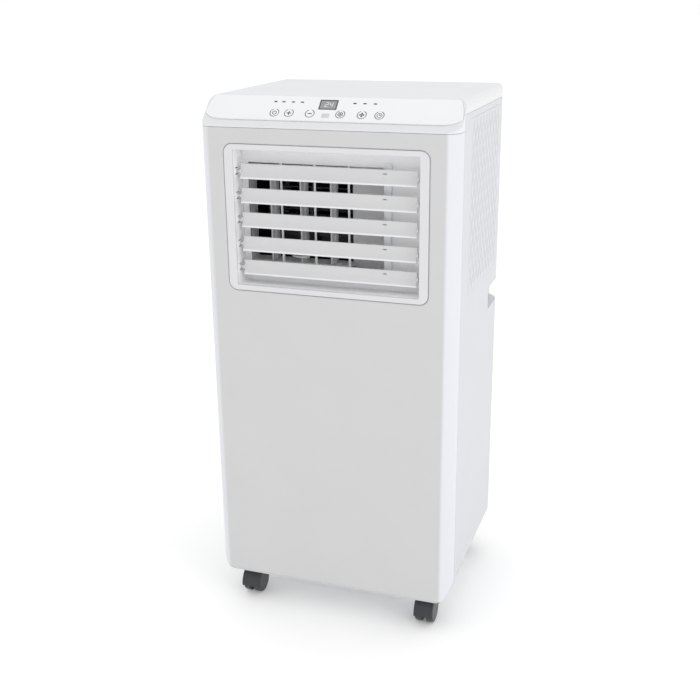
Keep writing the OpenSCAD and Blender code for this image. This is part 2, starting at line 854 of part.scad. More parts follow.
// Fin-and-tube heat exchanger between two corners, with return bends outside its end plates
module coil(low, high, fin_n, tube_n) {
    w = high[0] - low[0];
    h = high[2] - low[2];
    mid_y = (low[1] + high[1]) / 2;
    tube_r = 3.5;
    bend = h / tube_n;
    for (i = [0 : fin_n - 1])
        translate([low[0] + i * (w - 1) / (fin_n - 1), low[1], low[2]]) cube([1, high[1] - low[1], h]);
    for (k = [0 : tube_n - 1]) rod_x(tube_r, low[0] - 3, high[0] + 3, mid_y, low[2] + (k + 0.5) * bend);
    for (k = [0 : tube_n - 2]) {
        right = k % 2 == 0;
        translate([right ? high[0] + 3 : low[0] - 3, mid_y, low[2] + (k + 1) * bend])
            rotate([90, 0, 0]) rotate([0, 0, right ? -90 : 90])
                rotate_extrude(angle = 180) translate([bend / 2, 0]) circle(r = tube_r);
    }
}

module evaporator() color("silver") {
    coil([-intake_hw + 4, rear_face - 40, upper_z0 + 6],
         [intake_hw - 4, rear_face - 18, upper_z1 - 6], 30, 8);
}

// Tray under the evaporator that also parts the cold half from the hot half
module drip_deck() color("whitesmoke") {
    t = 2.5;
    y0 = face_y + front_wrap + 2;
    y1 = rear_face - wall - fit;
    rim = 14;
    post_x = pan_hw - 10;
    post_hw = 6;
    hole_r = 7;
    deck_x = pocket_x - wall - 1;
    difference() {
        union() {
            intersection() {
                case_body(wall + fit);
                difference() {
                    block([-deck_x, y0, deck_z], [deck_x, y1, deck_z + rim]);
                    block([-deck_x + t, y0 + t, deck_z + t], [deck_x - t, y1 - t, deck_z + rim + 1]);
                }
            }
            rod_y(drain_r + 2, drain_x, high_drain_z, y1 - 6, rear_face - 0.5);
            // pads under the evaporator and saddles under the blower housing
            for (x = [-intake_hw + 4, intake_hw - 14])
                block([x, rear_face - 38, deck_z], [x + 10, rear_face - 20, upper_z0 + 6]);
            difference() {
                for (x = [throat_x0 + 12, throat_x1 - 18])
                    block([x, blower_y - 26, deck_z], [x + 6, blower_y + 26, blower_z - shell_r + 8]);
                rod_x(shell_r, throat_x0 - 5, throat_x1 + 5, blower_y, blower_z);
            }
            // posts that stand on the base pan
            for (s = [-1, 1], y = [face_y + 56, face_y + 214])
                block([s * post_x - post_hw, y, foot_gap + pan_t],
                      [s * post_x + post_hw, y + 2 * post_hw, deck_z + t]);
        }
        rod_y(drain_r, drain_x, high_drain_z, y1 - 10, back_y);
        // holes that the pipes pass through
        for (x = [suction_x, liquid_x]) translate([x, pipe_y, deck_z - 1]) cylinder(r = hole_r, h = t + 2);
    }
}

// ---------------------------------------------------------------- back of the case

// Slatted panel between two corners of the back view
module slatted(hw, z0, z1, y0, y1) {
    border = 7;
    pitch = 9;
    bar_n = floor((z1 - z0 - 2 * border) / pitch);
    difference() {
        block([-hw, y0, z0], [hw, y1, z1]);
        block([-hw + border, y0 - 1, z0 + border], [hw - border, y1 + 1, z1 - border]);
    }
    for (i = [1 : bar_n])
        translate([0, (y0 + y1) / 2, z0 + border + i * (z1 - z0 - 2 * border) / (bar_n + 1)])
            rotate([-30, 0, 0]) cube([2 * (hw - border) + 1, 4.6, 1.6], center = true);
    for (x = [-hw / 3, hw / 3]) block([x - 1.5, y0, z0 + border - 1], [x + 1.5, y0 + 2, z1 - border + 1]);
}

// Slatted door that pulls off the back to reach the filter
module filter_door() color("whitesmoke") {
    slatted(intake_hw, upper_z0, upper_z1, rear_face - 4, rear_face + 1);
    // finger grip at the top edge
    block([-20, rear_face, upper_z1 - 6], [20, rear_face + 2.6, upper_z1 - 3]);
}

module filter_frame() color("lightgray") {
    y0 = rear_face - 8.5;
    y1 = rear_face - 4;
    inset = 6;
    rib = 4;
    difference() {
        block([-intake_hw + inset, y0, upper_z0 + inset], [intake_hw - inset, y1, upper_z1 - inset]);
        for (i = [0 : 2], k = [0 : 1]) {
            w = (2 * (intake_hw - inset) - 4 * rib) / 3;
            h = (upper_intake_h - 2 * inset - 3 * rib) / 2;
            x = -intake_hw + inset + rib + i * (w + rib);
            z = upper_z0 + inset + rib + k * (h + rib);
            block([x, y0 - 1, z], [x + w, y1 + 1, z + h]);
        }
    }
}

module filter_mesh() color("gray") {
    y0 = rear_face - 9.1;
    block([-intake_hw + 8, y0, upper_z0 + 8], [intake_hw - 8, rear_face - 8.5, upper_z1 - 8]);
}

module lower_grille() color("whitesmoke") {
    slatted(intake_hw, lower_z0, lower_z1, rear_face - 4, rear_face + 1);
}

// Round collar that the exhaust hose plugs into, with flanges at the fan housing and the rear panel
module exhaust_collar() color("whitesmoke") {
    y0 = fan_y1 + fit;
    y1 = rear_face + 1;
    flange_t = 3;
    flange_w = 5;
    difference() {
        union() {
            rod_y(exhaust_r + collar_t, exhaust_x, exhaust_z, y0, y1);
            for (y = [y0, rear_face - wall - fit - flange_t])
                rod_y(exhaust_r + collar_t + flange_w, exhaust_x, exhaust_z, y, y + flange_t);
        }
        rod_y(exhaust_r, exhaust_x, exhaust_z, y0 - 1, y1 + 1);
    }
}

// Rubber plug pushed into a drain spout
module drain_plug(z) color("gray") {
    rod_y(drain_r - 0.1, drain_x, z, rear_face - 12, rear_face - 0.4);
    difference() {
        rod_y(drain_r + 3, drain_x, z, rear_face - 0.4, rear_face + 2.4);
        rod_y(drain_r, drain_x, z, rear_face + 1.6, rear_face + 3);
    }
    block([drain_x - 1.2, rear_face + 1.5, z - drain_r - 1],
          [drain_x + 1.2, rear_face + 2.6, z + drain_r + 1]);
}

module upper_drain_plug() drain_plug(high_drain_z);
module lower_drain_plug() drain_plug(low_drain_z);

// Gland where the supply lead enters
module cord_gland() color("white") {
    flange_r = 11;
    flange_t = 2.5;
    nut_r = 10;
    nut_t = 3;
    nut_y = rear_face - wall - fit;
    difference() {
        union() {
            rod_y(gland_r, gland_x, gland_z, rear_face - wall - 6, rear_face + tiny);
            rod_y(flange_r, gland_x, gland_z, rear_face, rear_face + flange_t);
            rod_y(nut_r, gland_x, gland_z, nut_y - nut_t, nut_y);
        }
        rod_y(lead_r, gland_x, gland_z, rear_face - 20, rear_face + 4);
    }
}

// Pan-head screws that hold the rear panel
module rear_screws() color("silver") {
    head_r = 3.9;
    head_h = 2.2;
    thread_l = 9;
    recess = [2.2, 0.5];
    recess_y = rear_face + 1.2;
    for (s = [-1, 1], z = rear_screw_z()) {
        x = s * screw_x;
        difference() {
            union() {
                rod_y(head_r, x, z, rear_face + tiny, rear_face + head_h);
                rod_y(screw_r, x, z, rear_face - thread_l, rear_face + 1);
            }
            block([x - recess[0], recess_y, z - recess[1]], [x + recess[0], rear_face + 3, z + recess[1]]);
            block([x - recess[1], recess_y, z - recess[0]], [x + recess[1], rear_face + 3, z + recess[0]]);
        }
    }
}

// ---------------------------------------------------------------- lower half

// Front outline of the exhaust fan's chamber and chimney, moved inwards by the inset
module fan_outline(inset) {
    chimney_hw = exhaust_r + collar_t + 3;
    translate([fan_x, fan_z]) circle(r = scroll_r - inset, $fn = 96);
    area([fan_x - chimney_hw + inset, fan_z],
         [fan_x + chimney_hw - inset, exhaust_z + chimney_hw - inset]);
    // foot on the base pan
    if (inset == 0) area([fan_x - 34, foot_gap + pan_t], [fan_x + 34, fan_z - scroll_r + 8]);
}

// Housing of the exhaust fan: a round chamber below and a chimney up to the collar
module fan_housing() color("gainsboro") {
    t = housing_t;
    inlet_r = 50;
    difference() {
        along_y(fan_y0 - t, fan_y1) fan_outline(0);
        along_y(fan_y0, fan_y1 - t) fan_outline(t);
        rod_y(inlet_r, fan_x, fan_z, fan_y0 - t - 1, fan_y0 + 1);
        rod_y(inlet_r, fan_x, fan_z, fan_y1 - t - 1, fan_y1 + 1);
        rod_y(exhaust_r, exhaust_x, exhaust_z, fan_y1 - t - 1, fan_y1 + 1);
    }
}

module fan_wheel() color("lightgray") {
    w = fan_y1 - fan_y0 - 12;
    translate([fan_x, fan_y1 - 7, fan_z]) rotate([90, 0, 0]) cage_wheel(fan_r, w, 14);
    rod_y(shaft_r, fan_x, fan_z, fan_y0 - 30, fan_y1 - 12);
}

module fan_motor() color("silver") {
    y1 = fan_y0 - 12;
    can_r = 42;
    can_l = 46;
    boss_r = 10;
    difference() {
        union() {
            rod_y(can_r, fan_x, fan_z, y1 - can_l, y1);
            rod_y(boss_r, fan_x, fan_z, y1, y1 + 5);
            // three arms to the fan housing
            for (a = [30, 150, 270]) translate([fan_x, fan_y0 - 2 - fit, fan_z]) rotate([90, 0, 0]) rotate(a)
                block([36, -6, 0], [62, 6, 12]);
        }
        rod_y(shaft_r + run_fit, fan_x, fan_z, y1 - 20, y1 + 6);
    }
}

module condenser() color("silver") {
    coil([fan_x - 70, rear_face - 44, foot_gap + pan_t], [fan_x + 50, rear_face - 14, lower_z1 - 6], 22, 6);
}

// Sealed rotary compressor with its accumulator and three-armed foot
module compressor() color("dimgray") {
    low = foot_gap + pan_t + grommet_h;
    dome = 30;
    plate_t = 3;
    neck_h = 16;
    translate([comp_x, comp_y, low]) {
        difference() {
            union() {
                cylinder(r = 40, h = plate_t);
                for (a = [0, 120, 240]) rotate(a) {
                    block([0, -10, 0], [foot_r, 10, plate_t]);
                    translate([foot_r, 0, 0]) cylinder(r = 10, h = plate_t);
                }
            }
            for (a = [0, 120, 240]) rotate(a) translate([foot_r, 0, -1])
                cylinder(r = stud_r + fit, h = plate_t + 2);
        }
        translate([0, 0, plate_t - tiny]) rotate_extrude() intersection() {
            union() {
                area([0, neck_h], [comp_r, comp_h - dome]);
                translate([0, comp_h - dome]) intersection() {
                    translate([0, -53.5]) circle(r = 73);
                    area([0, -1], [comp_r, dome]);
                }
                area([0, 0], [comp_r - 12, neck_h + 1]);
                translate([comp_r - 1, comp_h - dome - 14]) circle(r = 2.4);
                translate([comp_r - 1, neck_h + 12]) circle(r = 2.4);
            }
            area([0, 0], [comp_r + 3, comp_h]);
        }
        // terminal cover on the dome
        translate([14, 8, comp_h - 18]) cylinder(r = 15, h = 22);
        // accumulator beside it with its strap
        rotate(tank_a) translate([comp_r + tank_r + 3, 0, 60]) {
            cylinder(r = tank_r, h = 96);
            cylinder(r = 6, h = 104);
        }
        rotate(tank_a) block([comp_r - 4, -5, 100], [comp_r + 6, 5, 112]);
    }
}

module compressor_grommets() color("black") {
    for (a = [0, 120, 240]) translate([comp_x, comp_y, foot_gap + pan_t]) rotate(a) translate([foot_r, 0, 0])
        difference() {
            cylinder(r = 9, h = grommet_h);
            translate([0, 0, -1]) cylinder(r = stud_r + 0.2, h = grommet_h + 2);
        }
}

// Round tube through points that lie square to each other, with a brazed elbow at each corner
module pipe(points, r) {
    last = len(points) - 1;
    for (i = [0 : last - 1]) tube(points[i], points[i + 1], r);
    for (i = [1 : last - 1]) translate(points[i]) sphere(r = r + elbow_t);
}

// Straight tube between two points that lie along one axis
module tube(a, b, r) {
    d = b - a;
    lo = [min(a[0], b[0]), min(a[1], b[1]), min(a[2], b[2])];
    if (abs(d[0]) > tiny) translate(lo) rotate([0, 90, 0]) cylinder(r = r, h = abs(d[0]));
    if (abs(d[1]) > tiny) translate(lo) rotate([-90, 0, 0]) cylinder(r = r, h = abs(d[1]));
    if (abs(d[2]) > tiny) translate(lo) cylinder(r = r, h = abs(d[2]));
}

// Copper lines between the compressor and both coils
module refrigerant_pipes() color("peru") {
    r = 4;
    comp_top = foot_gap + pan_t + grommet_h + comp_h;
    tank_top = foot_gap + pan_t + grommet_h + 167;
    run_z = comp_top + 34;
    coil_y = rear_face - 29;
    coil_x = fan_x - 70;
    port_y = comp_y + 24;
    drop_x = coil_x - 24;
    inlet_z = lower_z1 - 24;
    // discharge line: up from the dome, back and across to the condenser
    pipe([[comp_x, port_y, comp_top - 6], [comp_x, port_y, run_z], [comp_x, coil_y, run_z],
          [drop_x, coil_y, run_z], [drop_x, coil_y, inlet_z], [coil_x - 4, coil_y, inlet_z]], r);
    // suction line: from the evaporator down through the deck to the accumulator
    cross_z = deck_z + 26;
    cross_x = suction_x - 44;
    pipe([[suction_x, pipe_y, tank_top], [suction_x, pipe_y, cross_z], [cross_x, pipe_y, cross_z],
          [cross_x, coil_y, cross_z], [cross_x, coil_y, upper_z0 + 6]], r);
    // liquid line: from the condenser up through the deck
    low_run_z = run_z - 30;
    pipe([[liquid_x, pipe_y, deck_z + 40], [liquid_x, pipe_y, low_run_z], [liquid_x, face_y + 126, low_run_z]],
         r - 1);
}

// Box of the electrical parts, with the run capacitor
module electrical_box() color("lightgray") {
    w = 110;
    d = 55;
    h = 90;
    x0 = -pan_hw + 20;
    y0 = face_y + 30;
    z0 = deck_z - h;
    t = 2;
    capacitor_r = 18;
    capacitor_h = 66;
    difference() {
        block([x0, y0, z0], [x0 + w, y0 + d, z0 + h]);
        block([x0 + t, y0 + t, z0 + t], [x0 + w - t, y0 + d + 1, z0 + h - t]);
    }
    translate([x0 + 30, y0 + 28, z0 + t - tiny]) cylinder(r = capacitor_r, h = capacitor_h);
    block([x0 + 56, y0 + 8, z0 + t - tiny], [x0 + 100, y0 + 12, z0 + 70]);
}

module base_pan() color("whitesmoke") {
    y0 = face_y + sill_r + 2;
    y1 = rear_face - wall - fit;
    rim_t = 2;
    difference() {
        union() {
            difference() {
                block([-pan_hw, y0, foot_gap], [pan_hw, y1, foot_gap + pan_t + rim_h]);
                block([-pan_hw + rim_t, y0 + rim_t, foot_gap + pan_t],
                      [pan_hw - rim_t, y1 - rim_t, foot_gap + pan_t + rim_h + 1]);
            }
            for (x = [-1, 1], y = [-1, 1]) translate([x * caster_x, y * caster_y, foot_gap])
                cylinder(r = boss_r, h = pan_t + 22);
            for (a = [0, 120, 240]) translate([comp_x, comp_y, foot_gap]) rotate(a) translate([foot_r, 0, 0])
                cylinder(r = stud_r, h = pan_t + grommet_h + 8);
            rod_y(drain_r + 2, drain_x, low_drain_z, y1 - 6, rear_face - 0.5);
        }
        for (x = [-1, 1], y = [-1, 1]) translate([x * caster_x, y * caster_y, foot_gap - 1])
            cylinder(r = stem_r + run_fit, h = pan_t + 20);
        rod_y(drain_r, drain_x, low_drain_z, y1 - 10, back_y);
        // holes of the lowest rear screws
        for (x = [-1, 1]) rod_y(screw_r, x * screw_x, rear_screw_z()[0], y1 - rim_t - 5, back_y);
    }
}

// ---------------------------------------------------------------- casters

// Hood, web and stem of one caster; sx and sy tell its corner
module caster_hood(sx, sy) color("dimgray") {
    half = caster_web / 2 + caster_half_w + 0.6;
    translate([sx * caster_x, sy * caster_y, 0]) {
        difference() {
            union() {
                // web between the wheel halves, with a hood over both
                intersection() {
                    rod_x(hood_r, -half, half, -caster_trail, caster_r);
                    block([-half, -caster_trail - hood_r, caster_r - 3],
                          [half, -caster_trail + hood_r, foot_gap - 1]);
                }
                rod_x(6, -caster_web / 2, caster_web / 2, -caster_trail, caster_r);
                translate([0, 0, caster_r]) cylinder(r = 8, h = foot_gap - 0.6 - caster_r);
                translate([0, 0, foot_gap - 2]) cylinder(r = stem_r, h = 21);
            }
            for (s = [-1, 1]) rod_x(caster_r + hood_gap, s > 0 ? caster_web / 2 : -half - 1,
                                    s > 0 ? half + 1 : -caster_web / 2, -caster_trail, caster_r);
            rod_x(axle_r + run_fit, -half, half, -caster_trail, caster_r);
        }
    }
}

// Both wheel halves of one caster on their axle
module caster_wheels(sx, sy) color("black") {
    inner = caster_web / 2 + 0.4;
    edge = 2.5;
    translate([sx * caster_x, sy * caster_y - caster_trail, caster_r]) {
        for (s = [-1, 1]) rotate([0, s * 90, 0]) translate([0, 0, inner]) rotate_extrude() {
            area([0, 0], [caster_r - edge, caster_half_w]);
            area([0, edge / 2], [caster_r, caster_half_w - edge]);
            translate([caster_r - edge, caster_half_w - edge]) circle(r = edge);
            translate([caster_r - edge / 2, edge / 2]) circle(r = edge / 2);
        }
        rod_x(axle_r, -inner - 1, inner + 1, 0, 0);
    }
}

module caster_hood_front_left() caster_hood(-1, -1);
module caster_hood_front_right() caster_hood(1, -1);
module caster_hood_rear_left() caster_hood(-1, 1);
module caster_hood_rear_right() caster_hood(1, 1);
module caster_wheels_front_left() caster_wheels(-1, -1);
module caster_wheels_front_right() caster_wheels(1, -1);
module caster_wheels_rear_left() caster_wheels(-1, 1);
module caster_wheels_rear_right() caster_wheels(1, 1);

// ---------------------------------------------------------------- assembly

front_panel();
top_cover();
side_panel_left();
side_panel_right();
rear_panel();
control_strip();
display_window();
indicator_lenses();
receiver_window();
control_board();
button_power();
button_up();
button_down();
button_mode();
button_fan();
button_timer();
louver_frame();
slat_1();
slat_2();
slat_3();
slat_4();
slat_5();
tie_bar();
guard_grille();
outlet_duct();
vane_1();
vane_2();
vane_3();
vane_link();
blower_housing();
blower_wheel();
blower_motor();
evaporator();
drip_deck();
filter_door();
filter_frame();
filter_mesh();
lower_grille();
exhaust_collar();
upper_drain_plug();
lower_drain_plug();
cord_gland();
rear_screws();
fan_housing();
fan_wheel();
fan_motor();
condenser();
compressor();
compressor_grommets();
refrigerant_pipes();
electrical_box();
base_pan();
caster_hood_front_left();
caster_hood_front_right();
caster_hood_rear_left();
caster_hood_rear_right();
caster_wheels_front_left();
caster_wheels_front_right();
caster_wheels_rear_left();
caster_wheels_rear_right();
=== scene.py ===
# Portable room air conditioner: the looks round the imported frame.
import json

import bmesh
import bpy
import numpy as np
from mathutils import Matrix, Vector

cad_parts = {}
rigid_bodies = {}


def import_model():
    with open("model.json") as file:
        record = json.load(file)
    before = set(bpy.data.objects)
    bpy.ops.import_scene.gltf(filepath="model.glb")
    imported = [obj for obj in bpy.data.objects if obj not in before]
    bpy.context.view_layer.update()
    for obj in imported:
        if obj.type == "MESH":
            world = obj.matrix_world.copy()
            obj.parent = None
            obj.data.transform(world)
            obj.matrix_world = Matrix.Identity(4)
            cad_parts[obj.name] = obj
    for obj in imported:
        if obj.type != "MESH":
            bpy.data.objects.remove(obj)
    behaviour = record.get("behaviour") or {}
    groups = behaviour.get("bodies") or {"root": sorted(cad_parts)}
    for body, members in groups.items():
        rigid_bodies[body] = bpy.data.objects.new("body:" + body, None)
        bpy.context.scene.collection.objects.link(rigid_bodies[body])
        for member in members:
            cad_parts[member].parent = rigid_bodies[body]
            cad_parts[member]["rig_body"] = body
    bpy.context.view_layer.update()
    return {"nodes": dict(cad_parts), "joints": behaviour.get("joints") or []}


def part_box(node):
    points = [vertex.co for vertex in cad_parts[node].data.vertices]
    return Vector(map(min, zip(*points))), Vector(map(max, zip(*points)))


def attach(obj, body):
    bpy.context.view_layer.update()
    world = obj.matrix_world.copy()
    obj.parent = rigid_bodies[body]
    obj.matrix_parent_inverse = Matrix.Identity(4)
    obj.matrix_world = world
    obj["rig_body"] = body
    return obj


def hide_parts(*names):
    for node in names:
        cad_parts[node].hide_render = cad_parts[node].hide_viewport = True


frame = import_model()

# ---------------------------------------------------------------- case panels
# Five injection-moulded ABS shells meet at narrow seams: front, two sides, top and rear. The mould is
# spark-eroded, so the skin has a fine even grain and a soft sheen, and every edge has a small radius.

MM = 0.001


def linear(hex_colour):
    """The linear RGBA of an sRGB hex colour: each channel goes through the inverse sRGB curve."""
    srgb = np.array([int(hex_colour[i:i + 2], 16) for i in (1, 3, 5)]) / 255
    rgb = np.where(srgb <= 0.04045, srgb / 12.92, ((srgb + 0.055) / 1.055) ** 2.4)
    return (*rgb, 1.0)


def add(material, kind, inputs=None, **settings):
    """Adds one shader node; an input is a value, or a (node, output) pair that gets linked."""
    node = material.node_tree.nodes.new("ShaderNode" + kind)
    for name, value in settings.items():
        setattr(node, name, value)
    for socket, value in (inputs or {}).items():
        if isinstance(value, tuple) and isinstance(value[0], bpy.types.Node):
            material.node_tree.links.new(value[0].outputs[value[1]], node.inputs[socket])
        else:
            node.inputs[socket].default_value = value
    return node


def blank(name):
    """A new material with nothing in it but its object coordinates, and the node that gives them."""
    material = bpy.data.materials.new(name)
    material.use_nodes = True
    material.node_tree.nodes.clear()
    return material, add(material, "TexCoord")


def node_of(material, kind):
    """The first of a material's shader nodes of one kind."""
    return next(node for node in material.node_tree.nodes if node.bl_idname == "ShaderNode" + kind)


def moulded(name, light, dark, roughness, grain_mm=1.6, grain_um=14, coat=0.0):
    """Moulded thermoplastic: the melt's flow leaves clouds some centimetres wide between two close
    shades, and the mould's grain is a bump of the given width and height. The real grain is about
    0.3 mm wide, so it is drawn coarser to show at all. It also changes the roughness a little."""
    clouds_a_metre, swing, relief = 14.0, 0.05, 0.35
    material, place = blank(name)
    clouds = add(material, "TexNoise", {"Vector": (place, "Object"), "Scale": clouds_a_metre, "Detail": 3.0})
    tone = add(material, "MixRGB", {"Fac": (clouds, "Fac"), "Color1": linear(dark), "Color2": linear(light)})
    grain = add(material, "TexNoise", {"Vector": (place, "Object"), "Scale": 1 / (grain_mm * MM),
                                       "Detail": 2.0})
    sheen = add(material, "MapRange", {"Value": (grain, "Fac"), "To Min": roughness - swing,
                                       "To Max": roughness + swing})
    bump = add(material, "Bump", {"Height": (grain, "Fac"), "Strength": relief,
                                  "Distance": grain_um * 1e-6})
    shader = add(material, "BsdfPrincipled", {"Base Color": (tone, "Color"), "Roughness": (sheen, "Result"),
                                              "Normal": (bump, "Normal"), "IOR": 1.5,
                                              "Coat Weight": coat, "Coat Roughness": 0.08})
    add(material, "OutputMaterial", {"Surface": (shader, "BSDF")})
    return material


def linked(name, data):
    """A new object in the scene for a mesh, light or camera."""
    made = bpy.data.objects.new(name, data)
    bpy.context.scene.collection.objects.link(made)
    return made


def body_of(node):
    """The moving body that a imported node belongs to."""
    return frame["nodes"][node]["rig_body"]


def corners_of(node):
    """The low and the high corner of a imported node's box."""
    return (np.array(corner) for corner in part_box(node))


def points_of(node):
    """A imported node's vertices, one row of xyz each."""
    mesh = frame["nodes"][node].data
    points = np.zeros(len(mesh.vertices) * 3)
    mesh.vertices.foreach_get("co", points)
    return points.reshape(-1, 3)


def show(mesh_object, piece_body, slot, *nodes):
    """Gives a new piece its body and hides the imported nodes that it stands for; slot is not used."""
    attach(mesh_object, piece_body)
    if nodes:
        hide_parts(*nodes)


def smooth(mesh, sharp_deg):
    """Shades a mesh smooth, with creases where two faces meet at more than the given angle."""
    mesh.polygons.foreach_set("use_smooth", np.ones(len(mesh.polygons), bool))
    mesh.set_sharp_from_angle(angle=np.radians(sharp_deg))


same_point = 0.002 * MM   # vertices closer than this are merged
flat_deg = 0.4            # faces that turn by less than this become one


def eased(node, piece, material, slot, edge_mm, sharp_deg=32, round_deg=40, segments=3, wider=None):
    """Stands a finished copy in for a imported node: its loose triangles are merged, its flat faces made
    whole, and each edge sharper than round_deg is rounded to the given radius. wider is a function that
    gives, from the middles of the edges, how many times that radius each one gets."""
    mesh = frame["nodes"][node].data.copy()
    mesh.name = piece
    if "custom_normal" in mesh.attributes:
        mesh.attributes.remove(mesh.attributes["custom_normal"])
    work = bmesh.new()
    work.from_mesh(mesh)
    bmesh.ops.remove_doubles(work, verts=work.verts, dist=same_point)
    bmesh.ops.dissolve_limit(work, angle_limit=np.radians(flat_deg), verts=work.verts, edges=work.edges)
    turn = np.degrees([edge.calc_face_angle(0.0) for edge in work.edges])
    middle = np.array([(edge.verts[0].co + edge.verts[1].co) / 2 for edge in work.edges])
    work.to_mesh(mesh)
    work.free()
    smooth(mesh, sharp_deg)
    mesh.materials.clear()
    mesh.materials.append(material)
    finished = linked(piece, mesh)
    if edge_mm:
        share = np.ones(len(turn)) if wider is None else wider(middle)
        weight = mesh.attributes.new("bevel_weight_edge", "FLOAT", "EDGE")
        weight.data.foreach_set("value", np.where(turn > round_deg, share / share.max(), 0.0))
        edge = finished.modifiers.new("edge radius", "BEVEL")
        edge.width = edge_mm * share.max() * MM
        edge.segments = segments
        edge.limit_method = "WEIGHT"
        edge.use_clamp_overlap = False
    level = finished.modifiers.new("level faces", "WEIGHTED_NORMAL")
    level.keep_sharp = True
    show(finished, body_of(node), slot, node)


def dress(node, material):
    """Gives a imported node, left in its own shape, a finished material."""
    mesh = frame["nodes"][node].data
    mesh.materials.clear()
    mesh.materials.append(material)


# The case is one white plastic: the face is painted darker as shade and the top lighter as painted light,
# with the sides a little lighter than the face.
face_plastic = moulded("abs_white_face_painted_shade_and_highlight", "#CCCCCD", "#C8C8C9", 0.42)
top_plastic = moulded("abs_grained_top_white_painted_light", "#E2E3E5", "#DDDEE1", 0.36)
side_plastic = moulded("abs_grained_side_white", "#D1D3D7", "#CCCED2", 0.40)
rear_plastic = moulded("abs_grained_rear_white", "#E0E1E3", "#DBDCDE", 0.46)


def recoloured(material, share, colour):
    """Mixes a second colour into a moulded material, by the share that a (node, output) pair gives."""
    tone, shader = node_of(material, "MixRGB"), node_of(material, "BsdfPrincipled")
    mixed = add(material, "MixRGB", {"Fac": share, "Color1": (tone, "Color"), "Color2": linear(colour)})
    material.node_tree.links.new(mixed.outputs["Color"], shader.inputs["Base Color"])


def retinted(material, axis, start, end, colour, absolute=False):
    """Gives a moulded material another colour past a plane square to X, Y or Z: the colour changes
    between the two coordinates, measured from the middle plane outwards if absolute."""
    along = add(material, "SeparateXYZ", {"Vector": (node_of(material, "TexCoord"), "Object")})
    reach = (along, axis)
    if absolute:
        reach = (add(material, "Math", {0: reach}, operation="ABSOLUTE"), "Value")
    past = add(material, "MapRange", {"Value": reach, "From Min": start, "From Max": end})
    recoloured(material, (past, "Result"), colour)


# The face between the two upright creases keeps its darker painted shade, and the wraps beside it are painted
# a cool white as a highlight.
crease_x = 152.2 * MM
before, after = 2.5 * MM, 1.5 * MM   # the colour changes over this much of the crease's two sides
retinted(face_plastic, "X", crease_x - before, crease_x + after, "#DCDEE3", absolute=True)

outlet_low, outlet_high = corners_of("louver_frame")
rim_share = 4.0   # how many times wider an outline's edge radius is than the piece's other edges


def outlet_rim(middle):
    """rim_share on the panel's edges within a few millimetres of the air outlet's frame, else 1."""
    near = 6 * MM
    inside = (np.abs(middle[:, 0]) < outlet_high[0] + near) & (middle[:, 2] > outlet_low[2] - near)
    inside &= (middle[:, 2] < outlet_high[2] + near) & (middle[:, 1] < outlet_low[1] + near)
    return np.where(inside, rim_share, 1.0)


eased("front_panel", "front_panel_shell", face_plastic, "case_face", 0.5, sharp_deg=18, wider=outlet_rim)
eased("top_cover", "top_cover_shell", top_plastic, "case_white", 0, sharp_deg=18)
eased("side_panel_left", "side_panel_left_shell", side_plastic, "case_white", 0.4, sharp_deg=18)
eased("side_panel_right", "side_panel_right_shell", side_plastic, "case_white", 0.4, sharp_deg=18)
eased("rear_panel", "rear_panel_shell", rear_plastic, "rear_white", 0.4)
eased("base_pan", "base_pan_tray", rear_plastic, "pan_white", 0.5)

# Each side panel has a quilted field moulded low into it: grooves cross on the slant and leave diamonds.
# The deeper a point lies in a groove, the greyer it is: painted shade in the grooves.
field_low, field_high = np.array([-76.5, 458.0]) * MM, np.array([96.5, 676.0]) * MM   # in y and z
diamond_w, diamond_h = 18.0 * MM, 31.0 * MM
groove_w, groove_depth = 1.6 * MM, 0.58 * MM
skin_t, skin_gap = 0.15 * MM, 0.02 * MM   # the field's sheet, and how far it lies behind the panel's skin
fade = 9.0 * MM                           # over this far from the border the grooves grow to full depth
quilt_plastic = moulded("abs_quilted_side_white_groove_shade", "#D2D4D8", "#CDCFD3", 0.40)
# Painted shade: the groove attribute darkens each groove by its depth.
recoloured(quilt_plastic, (add(quilt_plastic, "Attribute", attribute_name="groove"), "Fac"), "#BCBFC5")


def surface(name, points, material, body, slot, thickness):
    """Makes one sheet from a grid of points, rows by columns by xyz, with a face between each four
    neighbours, and gives it a thickness behind its front."""
    rows, columns = points.shape[:2]
    corner = (np.arange(rows - 1)[:, None] * columns + np.arange(columns - 1)).ravel()
    faces = np.stack([corner, corner + 1, corner + columns + 1, corner + columns], axis=1)
    mesh = bpy.data.meshes.new(name)
    mesh.from_pydata(points.reshape(-1, 3).tolist(), [], faces.tolist())
    smooth(mesh, 60)
    mesh.materials.append(material)
    sheet = linked(name, mesh)
    wall = sheet.modifiers.new("thickness", "SOLIDIFY")
    wall.thickness, wall.offset = thickness, -1.0
    show(sheet, body, slot)
    return sheet


def quilt(side, step=1.25 * MM):
    """Points of the quilted field on the side x = side, and how deep in a groove each one is, from 0 to
    1. The depth is a bell curve of the distance to the nearest slanting groove line, where y/w + z/h
    or y/w - z/h is a whole number, and it fades out at the border."""
    y, z = np.meshgrid(*(np.linspace(low, high, round((high - low) / step) + 1)
                         for low, high in zip(field_low, field_high)))
    slant = np.hypot(1 / diamond_w, 1 / diamond_h)
    nearest = np.full(y.shape, 1.0)
    for sign in (1, -1):
        phase = y / diamond_w + sign * z / diamond_h
        nearest = np.minimum(nearest, np.abs(phase - np.round(phase)) / slant)
    edge = np.minimum.reduce([y - field_low[0], field_high[0] - y, z - field_low[1], field_high[1] - z])
    edge = np.clip(edge / fade, 0, 1)
    depth = groove_depth * np.exp(-(nearest / groove_w) ** 2) * edge * edge * (3 - 2 * edge)
    x = np.sign(side) * (abs(side) - skin_gap - depth)
    turned = slice(None, None, int(np.sign(side)))
    return np.stack([x, y, z], axis=-1)[:, turned], (depth / groove_depth)[:, turned]


